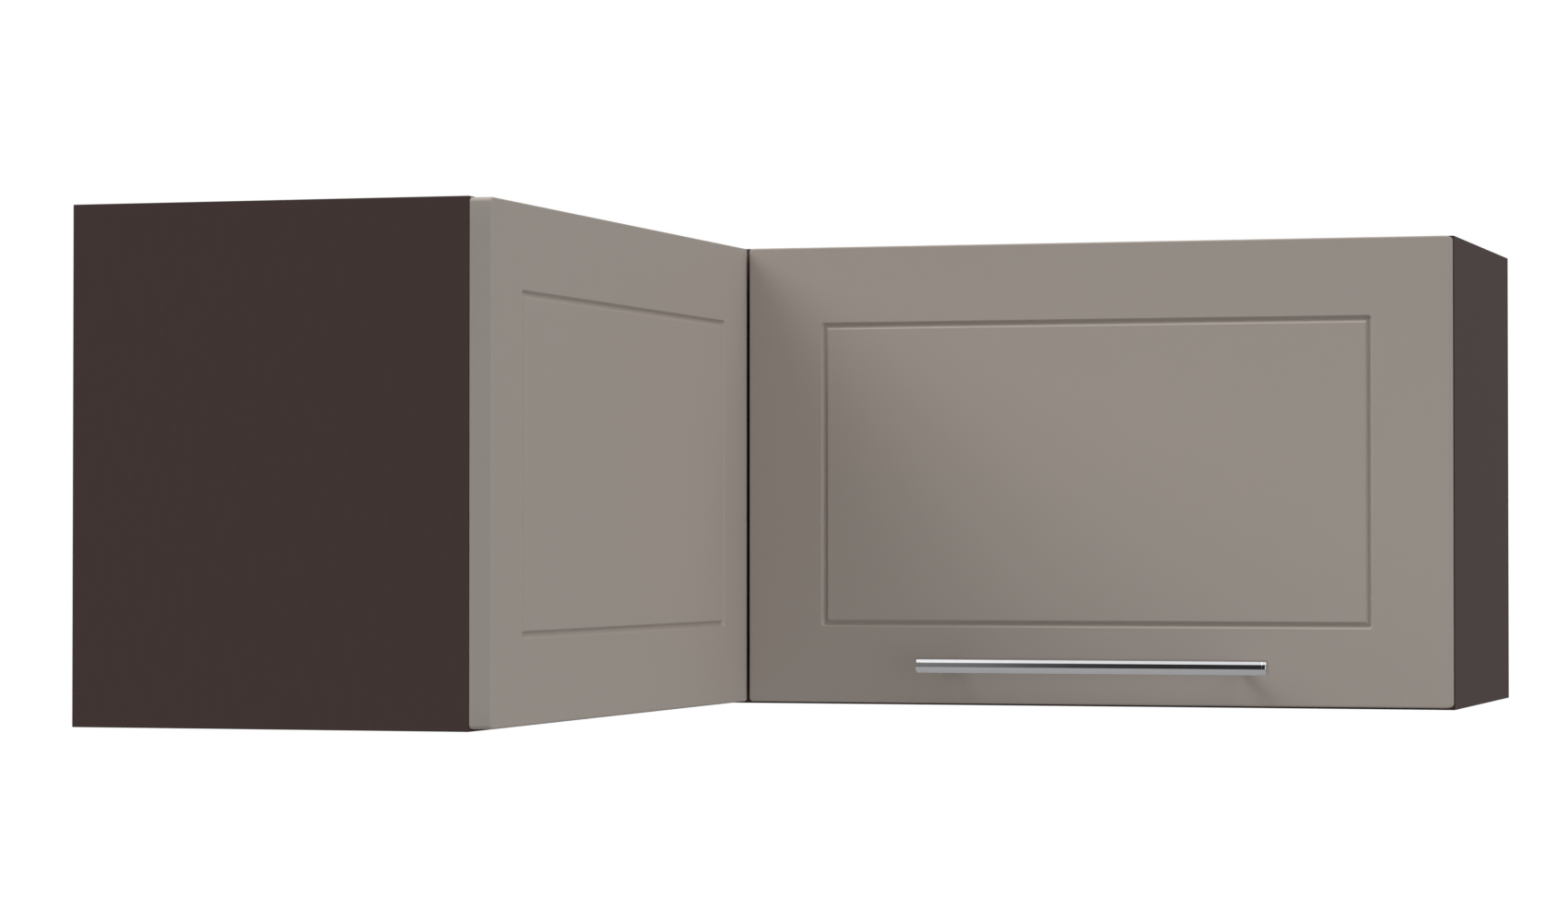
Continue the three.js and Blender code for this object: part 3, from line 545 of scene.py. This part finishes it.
def moulded(colour, roughness, depth_mm):
    """Moulded plastic, rubber or paint: a fine even grain over one tone."""
    def build(nodes):
        grain = nodes.noise(1100, detail=3)
        flow = nodes.noise(60)
        tone = nodes.mixed(flow, shade(colour, 0.95), shade(colour, 1.05))
        return {"Base Color": tone, "Roughness": roughness + grain * 0.08}, grain, depth_mm
    return build


materials = {
    "foil": finish("soft_matt_foil", foil(foil_colour), IOR=1.45, Specular_IOR_Level=0.25),
    # the darker foil is painted shade on the blind front's outer end
    "foil_painted_shade": finish("matt_foil_at_the_end", foil(foil_painted_shade_colour), IOR=1.45, Specular_IOR_Level=0.25),
    "laminate": finish("dark_laminate", laminate, IOR=1.45, Specular_IOR_Level=0.15),
    "chipboard": finish("raw_chipboard", chipboard, IOR=1.4),
    "hardboard": finish("lacquered_hardboard", hardboard, IOR=1.45),
    "raw_hardboard": finish("raw_hardboard", raw_hardboard, IOR=1.4),
    "chrome": finish("polished_chrome", polished(chrome_colour, 0.06), Metallic=1.0),
    "nickel": finish("bright_nickel", polished(nickel_colour, 0.2), Metallic=1.0),
    "zinc": finish("zinc_plated_steel", zinc_plate, Metallic=1.0),
    "black_steel": finish(
        "black_painted_steel", moulded(black_steel_colour, 0.3, 0.01), IOR=1.5, Coat_Weight=0.4
    ),
    "grey_plastic": finish("grey_moulded_plastic", moulded(grey_plastic_colour, 0.45, 0.03), IOR=1.46),
    "white_plastic": finish("white_moulded_plastic", moulded(white_plastic_colour, 0.38, 0.03), IOR=1.46),
    "clear_rubber": finish(
        "clear_rubber", moulded(rubber_colour, 0.25, 0.01), IOR=1.45, Transmission_Weight=0.75
    ),
}

node_slot = {name: node.active_material.name.split(".")[0] for name, node in frame["nodes"].items()}

# ---------------------------------------------------------------- fronts


def front_profile(thickness):
    """A front's section as (inset from the edge, height over the back) corners.

    It runs from the back's rim up the edge, over the front arris, along the frame, down and up
    the routed groove, and a little way on to the field.
    """
    lip = groove_middle_mm - groove_half_width_mm
    foot = groove_middle_mm - groove_bottom_half_width_mm
    far_foot = groove_middle_mm + groove_bottom_half_width_mm
    far_lip = groove_middle_mm + groove_half_width_mm
    floor = thickness - groove_depth_mm
    corners = [
        (corner_radius_mm, 0), (0, 0), (0, thickness), (lip, thickness), (foot, floor),
        (far_foot, floor), (far_lip, thickness), (far_lip + panel_border_mm, thickness),
    ]
    radii = [
        back_arris_radius_mm, arris_radius_mm, groove_lip_radius_mm, groove_foot_radius_mm,
        groove_foot_radius_mm, groove_lip_radius_mm,
    ]
    return filleted(corners, radii)


def front_corner_radii(inset):
    """The corner radius of each ring of a front.

    At the edge it is the front's own, less the inset. In the groove it is the distance to the
    groove's middle, as a cutter leaves it outside its path, and inside the path it is sharp.
    """
    at_edge = corner_radius_mm - inset
    in_groove = np.where(inset > groove_middle_mm / 2, groove_middle_mm - inset, 0)
    return np.maximum(np.maximum(at_edge, in_groove), sharp_corner_radius_mm)


def front_mesh(name, node, across, facing):
    """A front's surface: its section carried round a rectangle with round corners.

    across is the axis of its width, and facing the axis and sign of its face.
    """
    low, high = node_box(node)
    axis, sign = facing
    profile = front_profile(high[axis] - low[axis])
    signs, normals = rectangle_pattern(front_corner_steps, front_side_steps)
    middle = (low + high) / 2
    inset = profile[:, :1]
    radius = front_corner_radii(inset)
    rings = np.empty((len(profile), len(signs), 3))
    for side, column in ((across, 0), (Z, 1)):
        half = (high[side] - low[side]) / 2
        run = signs[None, :, column] * (half - inset - radius) + normals[None, :, column] * radius
        rings[..., side] = middle[side] + run
    back = low[axis] if sign > 0 else high[axis]
    rings[..., axis] = back + sign * profile[:, 1:]
    return ringed_solid(name, rings)


def bored(mesh, bores):
    """Cuts round bores out of a mesh. A bore is (middle at its mouth, depth along -Y, radius)."""
    tools = bmesh.new()
    for middle, depth, radius in bores:
        profile = np.array([(-bore_overcut_mm, radius), (depth, radius)])
        tool = turned_mesh("bore", profile, middle, (0, -1, 0))
        tools.from_mesh(tool)
        bpy.data.meshes.remove(tool)
    tool_mesh = bpy.data.meshes.new("bores")
    tools.to_mesh(tool_mesh)
    tools.free()
    body = bpy.data.objects.new("bored_body", mesh)
    cutter = bpy.data.objects.new("bores", tool_mesh)
    for thing in (body, cutter):
        bpy.context.scene.collection.objects.link(thing)
    cut = body.modifiers.new("bores", "BOOLEAN")
    cut.operation = "DIFFERENCE"
    cut.solver = "EXACT"
    cut.object = cutter
    seen = body.evaluated_get(bpy.context.evaluated_depsgraph_get())
    result = bpy.data.meshes.new_from_object(seen)
    name = mesh.name
    for thing in (body, cutter):
        bpy.data.objects.remove(thing)
    for old in (mesh, tool_mesh):
        bpy.data.meshes.remove(old)
    result.name = name
    smoothed(result)
    return result


def flap_bores():
    """The bores in the flap's back: two for the cups, and one for each screw that enters it."""
    back = node_box("flap")[1][Y]
    bores = []
    for node in nodes_named("hinge_cup_left", "hinge_cup_right"):
        low, high = node_box(node)
        middle = node_middle(node)
        middle[Y] = back
        bores.append((middle, back - low[Y] + cup_bore_extra_depth_mm, (high[Z] - low[Z]) / 2))
    for node in nodes_named("hinge_cup_screw", "handle_screw"):
        depth = back - node_box(node)[0][Y] + bore_clearance_mm
        middle = node_middle(node)
        middle[Y] = back
        bores.append((middle, depth, screw_shank_radius(node) + bore_clearance_mm))
    return bores


def screw_shank_radius(node):
    """The shank's radius of a screw that lies along Y."""
    return node_profile(node, node_middle(node), (0, 1, 0))[1, 1]


def make_fronts():
    """Both fronts.

    The blind front's outer end has a darker copy of the foil, which is painted shade. The real
    board most likely has one foil: the darker copy stands in for what the lamps here don't give that end.
    """
    blind = front_mesh("blind_front_board", "blind_front", Y, (X, 1))
    put_in(blind, "blind_front", "foil", materials["foil"], materials["foil_painted_shade"])
    # the faces of the blind front's outer end, which get the foil with painted shade
    painted_shade_at_end = face_middles(blind)[:, Y] < node_box("blind_front")[0][Y] + wall_tolerance_mm
    blind.polygons.foreach_set("material_index", painted_shade_at_end.astype(np.int32))
    flap = bored(front_mesh("flap_board", "flap", X, (Y, -1)), flap_bores())
    put_in(flap, "flap", "foil", materials["foil"])


# ---------------------------------------------------------------- handle


def make_handle_bar():
    """The bar: turned, with a fine ring turned in near each end and a rounded end."""
    low, high = node_box("handle_bar")
    radius = (high[Z] - low[Z]) / 2
    length = high[X] - low[X]
    ring = bar_ring_from_end_mm
    width = bar_ring_half_width_mm
    near = [
        (0, 0), (0, radius),
        (ring - width, radius), (ring, radius - bar_ring_depth_mm), (ring + width, radius),
    ]
    far = [(length - along, r) for along, r in reversed(near)]
    radii = [bar_end_radius_mm] + [bar_ring_edge_radius_mm] * 3
    profile = filleted(near + far, radii + radii[::-1])
    foot = (low[X], (low[Y] + high[Y]) / 2, (low[Z] + high[Z]) / 2)
    mesh = turned_mesh("handle_bar_turned", profile, foot, (1, 0, 0), sides=bar_sides)
    put_in(mesh, "handle_bar", "chrome", materials["chrome"])


def make_handle_post(node, screw):
    """A post: a round rod with its screw's bore in the foot and a saddle that fits the bar.

    A ring has a radius and lies at a depth from the foot. In the saddle a point's distance from
    the bar's axis is the root of (bar radius + gap) squared less its own height squared.
    """
    low, high = node_box(node)
    bar_low, bar_high = node_box("handle_bar")
    bar_middle = node_middle("handle_bar")
    saddle = (bar_high[Z] - bar_low[Z]) / 2 + bore_clearance_mm
    radius = (high[Z] - low[Z]) / 2
    bore = screw_shank_radius(screw) + bore_clearance_mm
    bore_depth = high[Y] - node_box(screw)[0][Y] + bore_clearance_mm
    corners = [(bore_depth, bore), (0, bore), (0, radius), (bore_depth, radius)]
    foot = filleted(corners, [0, turned_arris_mm])
    angle = np.linspace(0, 2 * math.pi, turned_sides, endpoint=False)[None]
    saddle_radii = radius * np.linspace(1, saddle_innermost_ring, saddle_rings)[:, None]
    saddle_y = bar_middle[Y] + np.sqrt(saddle ** 2 - (saddle_radii * np.sin(angle)) ** 2)
    ring_radii = np.concatenate([foot[:, 1:], saddle_radii])
    ring_y = np.concatenate([np.repeat(high[Y] - foot[:, :1], turned_sides, axis=1), saddle_y])
    x = (low[X] + high[X]) / 2 + ring_radii * np.cos(angle)
    z = bar_middle[Z] + ring_radii * np.sin(angle)
    mesh = ringed_solid(node + "_turned", np.stack([x, ring_y, z], axis=-1))
    put_in(mesh, node, "chrome", materials["chrome"])


# ---------------------------------------------------------------- turned small parts


def make_turned(node, axis, foot=None, arris=turned_arris_mm):
    """A turned node with round sides and its outer corners eased."""
    foot = node_middle(node) if foot is None else foot
    profile = node_profile(node, foot, axis)
    profile = profile[profile[:, 1] > 0]
    straight = np.linalg.norm(np.diff(profile, axis=0), axis=1)
    room = np.concatenate([straight[:1], np.minimum(straight[:-1], straight[1:]), straight[-1:]])
    radii = np.minimum(arris, room / straight_to_arris)
    tips = np.stack([profile[[0, -1], 0], np.full(2, turned_tip_radius_mm)], axis=1)
    corners = np.concatenate([tips[:1], profile, tips[1:]])
    mesh = turned_mesh(node + "_turned", filleted(corners, radii, small_arc_steps), foot, axis)
    put_in(mesh, node, node_slot[node], materials[node_slot[node]])


def make_strut_cylinder(foot, axis):
    """The gas strut's tube: turned, with a rolled-in crimp, round shoulders and the rod's bore."""
    node = "strut_cylinder"
    along, radius = along_and_radius(node, foot, axis)
    bottom, top, wide = along.min(), along.max(), radius.max()
    margin = strut_search_margin_mm
    bore = radius[(along > top - margin) & (radius < wide - margin)].max()
    inner = along[(along > bottom + margin) & (along < top - margin)].min()
    crimp = top - strut_crimp_from_end_mm
    corners = [
        (bottom, 0), (bottom, wide), (crimp - strut_crimp_half_width_mm, wide),
        (crimp, wide - strut_crimp_depth_mm), (crimp + strut_crimp_half_width_mm, wide),
        (top, wide), (top, bore), (inner, bore), (inner, 0),
    ]
    radii = [
        strut_shoulder_radius_mm, strut_crimp_edge_radius_mm, strut_crimp_bottom_radius_mm,
        strut_crimp_edge_radius_mm, strut_shoulder_radius_mm, strut_bore_arris_mm, 0,
    ]
    mesh = turned_mesh(node + "_turned", filleted(corners, radii), foot, axis)
    put_in(mesh, node, "black_steel", materials["black_steel"])


def make_screw(node, axis):
    """A pan-head screw, its head at the end that axis points to.

    Its profile is the node's own. On the head the height falls by the recess's depth where
    the place is within the cross's half width of either arm and within its reach.
    """
    foot = node_middle(node)
    profile = node_profile(node, foot, axis)
    head = profile[:, 1].max()
    flat = profile[-2, 1]
    radii = [0] + [head_arris * head] * (len(profile) - 3)
    body = filleted(profile[:-1], radii, small_arc_steps)
    across = np.linspace(flat, 0, head_rings)[1:]
    top = np.stack([np.full(len(across), profile[-1, 0]), across], axis=1)
    outline = np.concatenate([body, top])
    axis = unit(axis)
    side, other = square_to(axis)
    angle = np.linspace(0, 2 * math.pi, head_sides, endpoint=False)[None]
    u = outline[:, 1:] * np.cos(angle)
    v = outline[:, 1:] * np.sin(angle)
    arm = np.minimum(abs(u), abs(v)) / head
    reach = np.hypot(u, v) / head
    inside = np.clip((recess_half_width - arm) / recess_slope + 0.5, 0, 1)
    inside = inside * np.clip((recess_reach - reach) / recess_slope + 0.5, 0, 1)
    on_top = np.arange(len(outline))[:, None] >= len(body)
    along = outline[:, :1] - on_top * inside * recess_depth * head
    rings = foot + along[..., None] * axis + u[..., None] * side + v[..., None] * other
    put_in(ringed_solid(node + "_turned", rings), node, "zinc", materials["zinc"])


# ---------------------------------------------------------------- boards, plates and housings


def make_eased(node, arris, *extra):
    """A node's own shape, welded, with level faces joined and its edges eased by a bevel."""
    mesh = frame["nodes"][node].data.copy()
    mesh.name = node + "_eased"
    welded(mesh, flattened=True)
    piece = put_in(mesh, node, node_slot[node], materials[node_slot[node]], *extra)
    ease = piece.modifiers.new("eased_edges", "BEVEL")
    ease.width = arris * MM
    ease.segments = arris_segments
    ease.limit_method = "ANGLE"
    ease.angle_limit = smooth_angle
    ease.harden_normals = True
    return piece


def make_board(node):
    """A laminated board whose edges against the walls are left raw."""
    piece = make_eased(node, board_arris_mm, materials["chipboard"])
    middles = face_middles(piece.data)
    raw = (middles[:, X] < wall_tolerance_mm) | (middles[:, Y] > -wall_tolerance_mm)
    piece.data.polygons.foreach_set("material_index", raw.astype(np.int32))


def make_back_panel(node, axis, sign):
    """A hardboard back, lacquered inside; its side towards the wall is raw."""
    piece = make_eased(node, plate_arris_mm, materials["raw_hardboard"])
    low, high = node_box(node)
    rear = low[axis] if sign < 0 else high[axis]
    raw = abs(face_middles(piece.data)[:, axis] - rear) < wall_tolerance_mm
    piece.data.polygons.foreach_set("material_index", raw.astype(np.int32))


def make_small_parts():
    """The screws, pins, bumpers, strut, hinge parts, brackets, cams and hangers."""
    for node in nodes_named("handle_screw", "hinge_cup_screw"):
        make_screw(node, (0, 1, 0))
    for node in nodes_named("hinge_plate_screw", "hinge_arm_screw"):
        make_screw(node, (0, 0, -1))
    for node in nodes_named("hinge_pin"):
        make_turned(node, (1, 0, 0), arris=pin_arris_mm)
    for node in nodes_named("bumper"):
        make_turned(node, (0, 1, 0), arris=bumper_arris_mm)
    slide = next(joint for joint in frame["joints"] if joint["name"] == "strut_stroke")
    pivot = next(joint for joint in frame["joints"] if joint["name"] == "strut_pivot")
    strut_foot = np.array(pivot["pos_m"]) / MM
    make_strut_cylinder(strut_foot, slide["axis"])
    make_turned("strut_rod", slide["axis"], foot=strut_foot)
    for node in nodes_named("strut_end", "strut_bracket", "hinge_", "front_bracket", "cam"):
        if "screw" not in node and "pin" not in node:
            make_eased(node, plate_arris_mm)
    for node in nodes_named("hanger"):
        make_eased(node, board_arris_mm)


# ---------------------------------------------------------------- studio


def make_studio():
    """A plain pale floor, a bright room all round and the camera."""
    scene = bpy.context.scene
    scene.view_settings.view_transform = "Standard"
    angle = np.linspace(0, 2 * math.pi, floor_sides, endpoint=False)
    rim = np.stack([np.cos(angle), np.sin(angle), np.zeros(floor_sides)], axis=1) * floor_radius_mm
    rim[:, Z] = -floor_drop_mm
    mesh = bpy.data.meshes.new("floor")
    mesh.from_pydata((rim * MM).tolist(), [], [list(range(floor_sides))])
    mesh.materials.append(finish("pale_floor", moulded(floor_colour, 0.7, 0.02)))
    floor = bpy.data.objects.new("floor", mesh)
    scene.collection.objects.link(floor)

    world = bpy.data.worlds.new("studio")
    scene.world = world
    world.use_nodes = True
    nodes = Nodes(world.node_tree)
    nodes.add("OutputWorld", None, {"Surface": studio_light(nodes)}, output=None)

    lens = bpy.data.cameras.new("camera")
    lens.sensor_fit = "HORIZONTAL"
    lens.sensor_width = sensor_mm
    lens.lens = lens_mm
    camera = bpy.data.objects.new("camera", lens)
    scene.collection.objects.link(camera)
    camera.location = [coordinate * MM for coordinate in camera_place_mm]
    camera.rotation_euler = (math.pi / 2 + camera_pitch, 0, camera_yaw)
    scene.camera = camera


def studio_light(nodes):
    """The room as a sum of soft lamps, each a round patch of sky, with white behind for the camera.

    A lamp's patch is full where the cosine of the angle from its middle is over the cosine of
    its inner angle, dark below that of its outer angle, and smooth in between.
    """
    direction = nodes.add("TexCoord", output="Generated")
    brightness = room_level
    for azimuth, elevation, inner, outer, level in lamps.values():
        turn, rise = math.radians(azimuth), math.radians(elevation)
        middle = (math.sin(turn) * math.cos(rise), -math.cos(turn) * math.cos(rise), math.sin(rise))
        near = nodes.add("VectorMath", {"operation": "DOT_PRODUCT"}, {0: direction, 1: middle}, "Value")
        patch = nodes.ramp(near, math.cos(math.radians(outer)), math.cos(math.radians(inner)))
        brightness = brightness + patch * level
    seen = nodes.add("LightPath", output="Is Camera Ray")
    strength = brightness + seen * (1 - brightness)
    return nodes.add("Background", None, {"Color": (1, 1, 1, 1), "Strength": strength})


# ---------------------------------------------------------------- the cabinet

board_names = ("left_end", "right_end", "top_board", "bottom_board", "inner_post", "rear_corner")

make_studio()
for board in nodes_named(*board_names):
    make_board(board)
make_back_panel("back_panel_left", X, -1)
make_back_panel("back_panel_right", Y, 1)
make_fronts()
make_handle_bar()
for post, screw in zip(nodes_named("handle_post"), nodes_named("handle_screw")):
    make_handle_post(post, screw)
make_small_parts()
